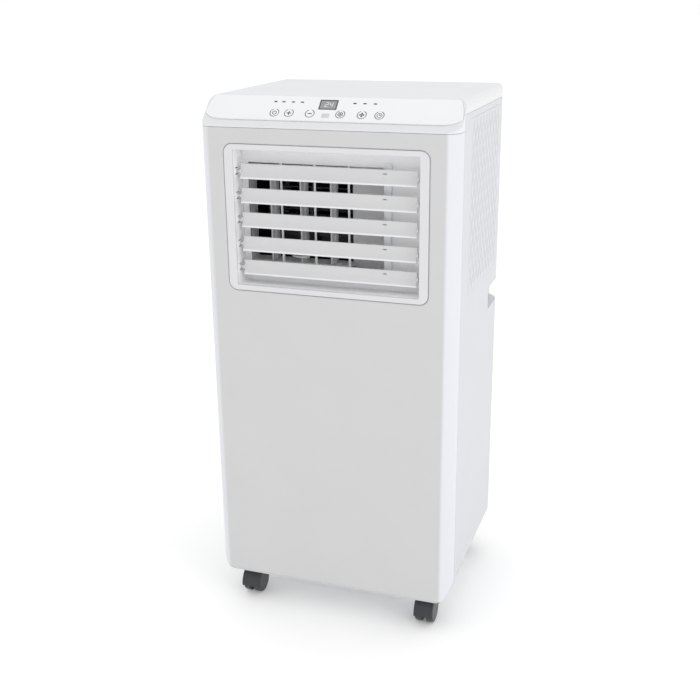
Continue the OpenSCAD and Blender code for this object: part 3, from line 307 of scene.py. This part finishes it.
for side_name, outer in (("left", 0), ("right", 1)):
    panel = "side_panel_" + side_name
    points, depth = quilt(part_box(panel)[outer][0])
    field = surface("side_quilt_" + side_name, points, quilt_plastic, body_of(panel), "case_white", skin_t)
    groove = field.data.attributes.new("groove", "FLOAT", "POINT")
    groove.data.foreach_set("value", depth.ravel())

# ---------------------------------------------------------------- control strip
# A glossy moulded strip snaps on to the slope. It carries the display's window, the remote control's
# receiver and seven dark lenses, and six keys stand in its round holes.

strip_plastic = moulded("abs_polished_white", "#EDEEF0", "#E8E9EC", 0.16, grain_mm=9.0, grain_um=5, coat=0.6)
key_plastic = moulded("abs_satin_key_white", "#EFF0F2", "#EBECEE", 0.30, grain_mm=1.2, grain_um=6)


def tinted(name, colour, roughness):
    """Tinted acrylic or ink: one even shade with faint lighter swirls some millimetres wide."""
    swirls_a_metre, lighter = 160.0, 1.25
    material, place = blank(name)
    swirl = add(material, "TexNoise", {"Vector": (place, "Object"), "Scale": swirls_a_metre, "Detail": 1.0})
    light = tuple(min(1.0, c * lighter) for c in linear(colour)[:3]) + (1.0,)
    tone = add(material, "MixRGB", {"Fac": (swirl, "Fac"), "Color1": linear(colour), "Color2": light})
    shader = add(material, "BsdfPrincipled", {"Base Color": (tone, "Color"), "Roughness": roughness,
                                              "IOR": 1.49})
    add(material, "OutputMaterial", {"Surface": (shader, "BSDF")})
    return material


window_acrylic = tinted("acrylic_smoked_window", "#4A4B4D", 0.12)
lens_acrylic = tinted("acrylic_dark_lens", "#1A1B1D", 0.45)
receiver_acrylic = tinted("acrylic_grey_receiver", "#C2C3C6", 0.3)

# The keys are pressed square to the slope, so a key's joint gives the slope's directions.
press = next(joint for joint in frame["joints"] if joint["name"] == "button_power_press")
slope_out = -np.array(press["axis"])
slope_across = np.array([1.0, 0.0, 0.0])
slope_up = np.cross(slope_out, slope_across)


def strip_outline(middle):
    """rim_share on the strip's outline, and 1 on its key holes and windows, which lie further inside."""
    near, ends_x = 2 * MM, 130 * MM
    along = middle @ slope_up
    rim = (along < along.min() + near) | (along > along.max() - near) | (np.abs(middle[:, 0]) > ends_x)
    return np.where(rim, rim_share, 1.0)


eased("control_strip", "control_strip_moulding", strip_plastic, "strip_gloss", 0.2, wider=strip_outline)
eased("display_window", "display_window_pane", window_acrylic, "display_smoke", 0.25)
dress("indicator_lenses", lens_acrylic)
eased("receiver_window", "receiver_window_pane", receiver_acrylic, "receiver_smoke", 0.3)


def outer_face(node):
    """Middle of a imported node's outermost face on the slope, and its half sizes across and up it."""
    points = points_of(node)
    out = points @ slope_out
    skin = points[out > out.max() - 0.01 * MM]   # the outermost face is flat to within this
    span = np.stack([skin @ slope_across, skin @ slope_up], axis=1)
    low, high = span.min(0), span.max(0)
    middle = (low + high) / 2
    return middle[0] * slope_across + middle[1] * slope_up + out.max() * slope_out, (high - low) / 2


def printed(name, node, material, slot, patches, height_mm=0.03):
    """Lays flat printed shapes on a node's outer face: each patch is an outline in mm, across and up the
    slope from the face's middle, and becomes a thin slab of ink that starts just inside the face."""
    sunk = 0.02 * MM
    middle, _ = outer_face(node)
    verts, faces = [], []
    for patch in patches:
        outline = np.asarray(patch, float) * MM
        first, count = sum(len(v) for v in verts), len(outline)
        flat = middle + outline[:, :1] * slope_across + outline[:, 1:] * slope_up
        verts += [flat + slope_out * height_mm * MM, flat - slope_out * sunk]
        ring = np.arange(count)
        after = np.roll(ring, -1)
        faces.append((first + ring).tolist())
        faces.append((first + count + ring[::-1]).tolist())
        faces += (first + np.stack([ring, ring + count, after + count, after], axis=1)).tolist()
    mesh = bpy.data.meshes.new(name)
    mesh.from_pydata(np.concatenate(verts).tolist(), [], faces)
    mesh.materials.append(material)
    show(linked(name, mesh), body_of(node), slot)


def arc_band(radius, width, start_deg=0, end_deg=359.5, steps=40):
    """Outline of a band that follows a circle: out along the outer radius and back along the inner one."""
    angle = np.radians(np.linspace(start_deg, end_deg, steps))
    ray = np.stack([np.cos(angle), np.sin(angle)], axis=1)
    return np.concatenate([ray * (radius + width / 2), ray[::-1] * (radius - width / 2)])


def bar(x0, y0, x1, y1, width):
    """Outline of a straight stroke between two points: both ends moved half its width to each side."""
    ends = np.array([[x0, y0], [x1, y1]], float)
    along = (ends[1] - ends[0]) / np.linalg.norm(ends[1] - ends[0])
    side = np.array([-along[1], along[0]]) * width / 2
    return np.array([ends[0] - side, ends[1] - side, ends[1] + side, ends[0] + side])


def petal(turn_deg, near, far, swell, steps=12):
    """Outline of a leaf between two radii, turned about the key's middle: half a sine wave each side,
    over a tip that isn't quite sharp."""
    tip = 0.02
    t = np.linspace(0, 1, steps)
    along = near + (far - near) * t
    half = swell * np.sin(np.pi * t) + tip
    leaf = np.concatenate([np.stack([along, half], 1), np.stack([along, -half], 1)[::-1]])
    c, s = np.cos(np.radians(turn_deg)), np.sin(np.radians(turn_deg))
    return (leaf @ np.array([[c, s], [-s, c]]))[::-1]


# Each key has a plain printed sign, and an open dark ring at its edge that is painted shade in the gap round
# the key, open at the top. Radii, widths and places are in millimetres.
ink_and_gap_shade_grey = tinted("pad_printed_grey_ink_and_key_gap_shade", "#232427", 0.8)
# Painted shade: this ring stands for the dark gap round each key.
ring = [arc_band(5.45, 0.7, 114, 426)]
signs = {
    "power": [arc_band(2.5, 0.9, 125, 415), bar(0, 0.6, 0, 3.5, 0.95)],
    "up": [bar(-3.1, 0, 3.1, 0, 1.25), bar(0, -3.1, 0, 3.1, 1.25)],
    "down": [bar(-2.8, 0, 2.8, 0, 1.25)],
    "mode": [arc_band(3.0, 0.8), arc_band(1.5, 0.7), arc_band(0.4, 0.6, steps=16)],
    "fan": [petal(turn, 0.5, 3.7, 1.15) for turn in range(0, 360, 90)] + [arc_band(0.35, 0.5, steps=16)],
    "timer": [arc_band(3.0, 0.75), bar(0, -0.2, 0, 2.1, 0.75), bar(-0.2, 0, 1.8, 0, 0.75)],
}
for key, sign in signs.items():
    eased("button_" + key, "key_" + key, key_plastic, "key_white", 0.18)
    printed("key_print_and_gap_shade_" + key, "button_" + key, ink_and_gap_shade_grey, "key_white", ring + sign)

# Each lamp's lens is a block under a dark printed bar, whose middle comes from the block's two sides.
lens_middle, _ = outer_face("indicator_lenses")
lens_sides = np.unique(points_of("indicator_lenses")[:, 0].round(5))
lens_x = (lens_sides[0::2] + lens_sides[1::2]) / 2 - lens_middle[0]
lamp_bar = np.array([[-2.0, -0.85], [2.0, -0.85], [2.0, 0.85], [-2.0, 0.85]])
printed("lamp_print", "indicator_lenses", ink_and_gap_shade_grey, "strip_gloss",
        [lamp_bar + [x / MM, 0] for x in lens_x], height_mm=0.13)

# The display is a grey liquid crystal behind the smoked window, with two pale seven-segment digits.
lcd_grey = tinted("liquid_crystal_grey", "#8C8E91", 0.25)
lcd_pale = tinted("liquid_crystal_lit", "#D2D5D8", 0.3)
_, window_half = outer_face("display_window")
side_border, low_border, top_border = 1.6, 1.4, 1.8
pane_x, pane_y = window_half[0] / MM - side_border, window_half[1] / MM
pane_low, pane_top = low_border - pane_y, pane_y - top_border
pane = np.array([[-pane_x, pane_low], [pane_x, pane_low], [pane_x, pane_top], [-pane_x, pane_top]])
printed("display_crystal", "display_window", lcd_grey, "display_smoke", [pane])


def digit(centre_x, lit, half_w=1.7, half_h=3.3, thick=0.9, lean=0.12, gap=0.07):
    """Seven-segment digit of the strokes named in lit: each is a bar that is drawn in by the share gap,
    to part it from the next, and leans a little."""
    ends = {"a": (-1, 1, 1, 1), "b": (1, 1, 1, 0), "c": (1, 0, 1, -1), "d": (-1, -1, 1, -1),
            "e": (-1, 0, -1, -1), "f": (-1, 1, -1, 0), "g": (-1, 0, 1, 0)}
    strokes = []
    for name in lit:
        x0, y0, x1, y1 = np.array(ends[name]) * np.array([half_w, half_h, half_w, half_h])
        stroke = bar(x0, y0, x1, y1, thick)
        stroke = stroke * (1 - gap) + stroke.mean(0) * gap
        stroke[:, 0] += stroke[:, 1] * lean + centre_x
        strokes.append(stroke)
    return strokes


printed("display_digits", "display_window", lcd_pale, "display_smoke",
        digit(-2.2, "abged") + digit(3.6, "bcfg"), height_mm=0.06)

# ---------------------------------------------------------------- air outlet
# A moulded frame snaps into the front panel. Five curved louvres turn in it on end pins and share one
# tie bar, and a guard grille and a duct with upright vanes stand behind them.

louvre_plastic = moulded("abs_satin_frame_white_painted_liner_light", "#D9D9DB", "#D5D5D7", 0.34, grain_mm=1.4, grain_um=8)
# Painted light: the guard, the duct and its vanes get a lighter white than the frame to lift the shade inside
# the outlet.
guard_plastic = moulded("abs_guard_white_painted_light", "#F4F4F5", "#F0F0F1", 0.40, grain_mm=1.4, grain_um=8)
duct_plastic = moulded("abs_duct_white_painted_light", "#F0F0F1", "#ECECED", 0.44)
clear_plastic = moulded("acetal_milky_white", "#EBEEF0", "#E3E7EA", 0.26, grain_mm=3.0, grain_um=5)

# The liner behind the frame's flange is painted lighter than the flange, as painted light against the
# outlet's shade, and the lower lip of each blade is painted lighter as a highlight.
flange_t, lip_h = 3 * MM, 2.4 * MM
liner_y, liner_blend, lip_blend = outlet_low[1] + flange_t, 0.3 * MM, 0.5 * MM
retinted(louvre_plastic, "Y", liner_y - liner_blend, liner_y + liner_blend, "#FAFAFB")
eased("louver_frame", "louver_frame_bezel", louvre_plastic, "louver_white", 0.8)
for i in range(1, 6):
    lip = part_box(f"slat_{i}")[0][2] + lip_h
    blade_plastic = moulded(f"abs_satin_blade_white_{i}", "#CFCFD0", "#CBCBCC", 0.34,
                            grain_mm=1.4, grain_um=8)
    retinted(blade_plastic, "Z", lip + lip_blend, lip - lip_blend, "#E6E6E8")
    eased(f"slat_{i}", f"louver_slat_{i}", blade_plastic, "louver_white", 0.3)
eased("tie_bar", "louver_tie_bar", clear_plastic, "louver_white", 0.35)
eased("guard_grille", "guard_grille_plate", guard_plastic, "duct_grey", 0.35)
dress("outlet_duct", duct_plastic)
for i in range(1, 4):
    eased(f"vane_{i}", f"upright_vane_{i}", duct_plastic, "duct_grey", 0.35)
eased("vane_link", "vane_link_bar", clear_plastic, "duct_grey", 0.3)

# ---------------------------------------------------------------- cold half
# The evaporator, the black blower that feeds the throat, and the tray under them.

black_plastic = moulded("abs_black_housing", "#1B1C1D", "#161718", 0.55)
tray_plastic = moulded("polypropylene_natural_tray", "#D8D9D8", "#CFD0CF", 0.5)
wheel_plastic = moulded("polypropylene_grey_impeller", "#4A4C4F", "#434548", 0.45)


def metal(name, colour, roughness, cloud_mm):
    """Rolled or drawn metal: small clouds of the given size darken it a little and change how rough it is."""
    darker, swing = 0.86, 0.08
    material, place = blank(name)
    clouds = add(material, "TexNoise", {"Vector": (place, "Object"), "Scale": 1 / (cloud_mm * MM),
                                        "Detail": 4.0})
    dark = tuple(c * darker for c in linear(colour)[:3]) + (1.0,)
    tone = add(material, "MixRGB", {"Fac": (clouds, "Fac"), "Color1": linear(colour), "Color2": dark})
    rough = add(material, "MapRange", {"Value": (clouds, "Fac"), "To Min": roughness - swing,
                                       "To Max": roughness + swing})
    shader = add(material, "BsdfPrincipled", {"Base Color": (tone, "Color"), "Roughness": (rough, "Result"),
                                              "Metallic": 1.0})
    add(material, "OutputMaterial", {"Surface": (shader, "BSDF")})
    return material


fin_metal = metal("aluminium_fin_stock", "#D5D8DA", 0.32, 2.0)
motor_metal = metal("steel_zinc_plated", "#A9ACB0", 0.38, 3.0)
copper_metal = metal("copper_drawn_tube", "#C98A5E", 0.3, 4.0)
screw_metal = metal("steel_screw_nickel", "#C4C5C6", 0.28, 1.0)
box_metal = metal("steel_galvanised_sheet", "#B4B8BB", 0.42, 9.0)


def swept(name, rings, material, body, slot, *nodes):
    """Closed bars, one for each row of rings: a four-cornered profile carried along a path, with a side
    between neighbouring rings and a cap at each end. rings is bars by steps by corners by xyz, and all
    faces are turned over if the bars' summed volume comes out negative."""
    corner = np.arange(rings[..., 0].size).reshape(rings.shape[:3])
    beside = np.roll(corner, -1, axis=2)
    sides = np.stack([corner[:, :-1], beside[:, :-1], beside[:, 1:], corner[:, 1:]], axis=-1).reshape(-1, 4)
    faces = np.concatenate([sides, corner[:, 0, ::-1], corner[:, -1]])
    points = rings.reshape(-1, 3)
    a, b, c, d = (points[faces[:, k]] for k in range(4))
    volume = np.sum(a * (np.cross(b, c) + np.cross(c, d)))
    mesh = bpy.data.meshes.new(name)
    mesh.from_pydata(points.tolist(), [], (faces if volume > 0 else faces[:, ::-1]).tolist())
    mesh.materials.append(material)
    show(linked(name, mesh), body, slot, *nodes)


def fin_pack(node, tubes, pitch=2.1 * MM, thick=0.16 * MM, ripple=0.35 * MM, wave=14 * MM):
    """Thin upright plates at even spacing between a coil's end plates, whose sideways place follows a
    sine wave up their height. The CAD's own fins are few and thick, and these stand among them. The
    end plates are found from the tube bends outside them: half a tube spacing, 3.5 mm of tube radius
    and 3 mm of straight tube. Fins are usually 1.2 to 1.8 mm apart, and these are a little coarser."""
    tube_r, straight, end_gap, face_gap, steps_a_wave = 3.5 * MM, 3 * MM, 1 * MM, 0.4 * MM, 6
    low, high = corners_of(node)
    height = high[2] - low[2]
    past_plate = height / tubes / 2 + tube_r + straight
    x = np.arange(low[0] + past_plate + pitch, high[0] - past_plate - pitch / 2, pitch)
    z = np.linspace(low[2] + end_gap, high[2] - end_gap, int(height / (wave / steps_a_wave)))
    sideways = ripple * np.sin(2 * np.pi * (z - z[0]) / wave)
    rings = np.zeros((len(x), len(z), 4, 3))
    rings[..., 0] = x[:, None, None] + sideways[None, :, None] + thick / 2 * np.array([-1, 1, 1, -1])
    rings[..., 1] = np.where(np.array([1, 1, 0, 0]), low[1] + face_gap, high[1] - face_gap)
    rings[..., 2] = z[None, :, None]
    swept(node + "_fins", rings, fin_metal, body_of(node), "coil_fins")


dress("blower_housing", black_plastic)
dress("blower_wheel", wheel_plastic)
dress("blower_motor", motor_metal)
dress("drip_deck", tray_plastic)
dress("evaporator", fin_metal)
fin_pack("evaporator", tubes=8)

# ---------------------------------------------------------------- back of the case
# A slatted door pulls off with the filter, and below it are the exhaust collar, a fixed grille, the
# drain plugs and the supply lead's gland.

rubber_grey = moulded("rubber_grey_stopper", "#6A6B6D", "#626365", 0.7, grain_mm=1.5, grain_um=20)
mesh_nylon = moulded("nylon_dark_screen", "#5A5C5F", "#525457", 0.6, grain_mm=1.0, grain_um=20)

eased("filter_door", "filter_door_louvres", rear_plastic, "rear_white", 0.25)
eased("lower_grille", "lower_grille_louvres", rear_plastic, "rear_white", 0.25)
eased("filter_frame", "filter_frame_tray", wheel_plastic, "filter_grey", 0.3)


def woven(node, pitch=4.0 * MM, thread_r=0.28 * MM):
    """Square weave over a node's box: a thread runs along each row and each column, a four-cornered
    profile along a cosine wave, whose phase is turned by half a wave from one thread to the next. Such
    a screen has about a thread each millimetre, so it is drawn some four times as coarse to show. The
    weft stands for the node."""
    low, high = corners_of(node)
    corners = np.array([[1, 0], [0, 1], [-1, 0], [0, -1]])
    wave_r = thread_r * 0.9   # a little under the thread's radius, so that crossing threads touch
    for name, along, across, nodes in (("filter_weft", 0, 2, [node]), ("filter_warp", 2, 0, [])):
        count = int((high[across] - low[across]) / pitch) - 1
        steps = int((high[along] - low[along]) / pitch) * 2 + 1
        run, row = np.meshgrid(np.linspace(low[along], high[along], steps), np.arange(count))
        start = low[across] + (high[across] - low[across] - (count - 1) * pitch) / 2
        lift = wave_r * np.cos(np.pi * ((run - low[along]) / pitch + row + (along == 2)))
        rings = np.zeros((count, steps, 4, 3))
        rings[..., along] = run[..., None]
        rings[..., across] = (start + row * pitch)[..., None] + thread_r * corners[:, 0]
        rings[..., 1] = (low[1] + high[1]) / 2 + lift[..., None] + thread_r * corners[:, 1]
        swept(name, rings, mesh_nylon, body_of(node), "filter_grey", *nodes)


woven("filter_mesh")
eased("exhaust_collar", "exhaust_collar_ring", rear_plastic, "rear_white", 0.5)
eased("cord_gland", "cord_gland_bush", rubber_grey, "soft_rubber", 0.4)
for level in ("upper", "lower"):
    eased(level + "_drain_plug", level + "_drain_stopper", rubber_grey, "soft_rubber", 0.4)
dress("rear_screws", screw_metal)

# ---------------------------------------------------------------- hot half
# The exhaust fan, the condenser, the compressor on its rubber feet and the copper lines.

black_paint = moulded("paint_semi_gloss_black", "#17181A", "#121314", 0.32, grain_mm=2.5, grain_um=10)
board_mask = moulded("solder_mask_green", "#1D5A33", "#184D2B", 0.35)

dress("fan_housing", tray_plastic)
dress("fan_wheel", wheel_plastic)
dress("fan_motor", motor_metal)
dress("condenser", fin_metal)
fin_pack("condenser", tubes=6)
dress("compressor", black_paint)
dress("compressor_grommets", rubber_grey)
dress("refrigerant_pipes", copper_metal)
dress("electrical_box", box_metal)
dress("control_board", board_mask)

# ---------------------------------------------------------------- casters
# Twin-wheel casters of dark nylon, whose stems push into the base.

hood_nylon = moulded("nylon_dark_grey_hood", "#333436", "#2D2E30", 0.42)
tread_nylon = moulded("nylon_dark_grey_wheel", "#3A3B3D", "#323335", 0.36)
for end in ("front", "rear"):
    for side in ("left", "right"):
        corner = f"{end}_{side}"
        eased("caster_hood_" + corner, "caster_fork_" + corner, hood_nylon, "caster_grey", 0.5)
        eased("caster_wheels_" + corner, "caster_tread_" + corner, tread_nylon, "wheel_grey", 0)

# ---------------------------------------------------------------- floor, light and camera
# A pale floor under an even white sky, with one tall soft box to the right of the face.

scene = bpy.context.scene
scene.view_settings.view_transform = "Standard"
world = bpy.data.worlds.new("studio")
world.use_nodes = True
sky = world.node_tree.nodes["Background"]
sky.inputs["Color"].default_value = (1.0, 1.0, 1.0, 1.0)
sky.inputs["Strength"].default_value = 1.0
scene.world = world

floor_mesh = bpy.data.meshes.new("studio_floor")
half = 30.0   # metres from the middle of the floor to each side
floor_mesh.from_pydata([(-half, -half, 0), (half, -half, 0), (half, half, 0), (-half, half, 0)], [],
                       [(0, 1, 2, 3)])
paper = moulded("paper_white_sweep", "#FCFCFC", "#FBFBFB", 0.9)
paper_shader = node_of(paper, "BsdfPrincipled")
paper_shader.inputs["Emission Color"].default_value = (1.0, 1.0, 1.0, 1.0)
paper_shader.inputs["Emission Strength"].default_value = 0.1
floor_mesh.materials.append(paper)
floor = linked("studio_floor", floor_mesh)


def soft_box(name, place, aim, width, height, watts):
    """A rectangular area light at a place, turned to face a point."""
    light = bpy.data.lights.new(name, "AREA")
    light.shape = "RECTANGLE"
    light.size, light.size_y, light.energy = width, height, watts
    lamp = linked(name, light)
    lamp.location = place
    lamp.rotation_euler = (Vector(aim) - Vector(place)).to_track_quat("-Z", "Y").to_euler()


soft_box("right_soft_box", (2.5, -1.5, 1.6), (0, 0, 0.4), width=1.2, height=2.2, watts=12)

# The camera looks from eye to target, and is rolled a little about that line.
eye, target = Vector((0.4384, -1.3204, 0.8232)), Vector((0.0312, -0.1425, 0.3935))
roll = np.radians(-0.62)
back = (eye - target).normalized()
level = Vector((0, 0, 1)).cross(back).normalized()
upright = back.cross(level)
right = level * np.cos(roll) + upright * np.sin(roll)
up = upright * np.cos(roll) - level * np.sin(roll)
lens = bpy.data.cameras.new("camera")
lens.sensor_width, lens.lens = 36.0, 53.93
camera = linked("camera", lens)
camera.matrix_world = Matrix.Translation(eye) @ Matrix((right, up, back)).transposed().to_4x4()
scene.camera = camera
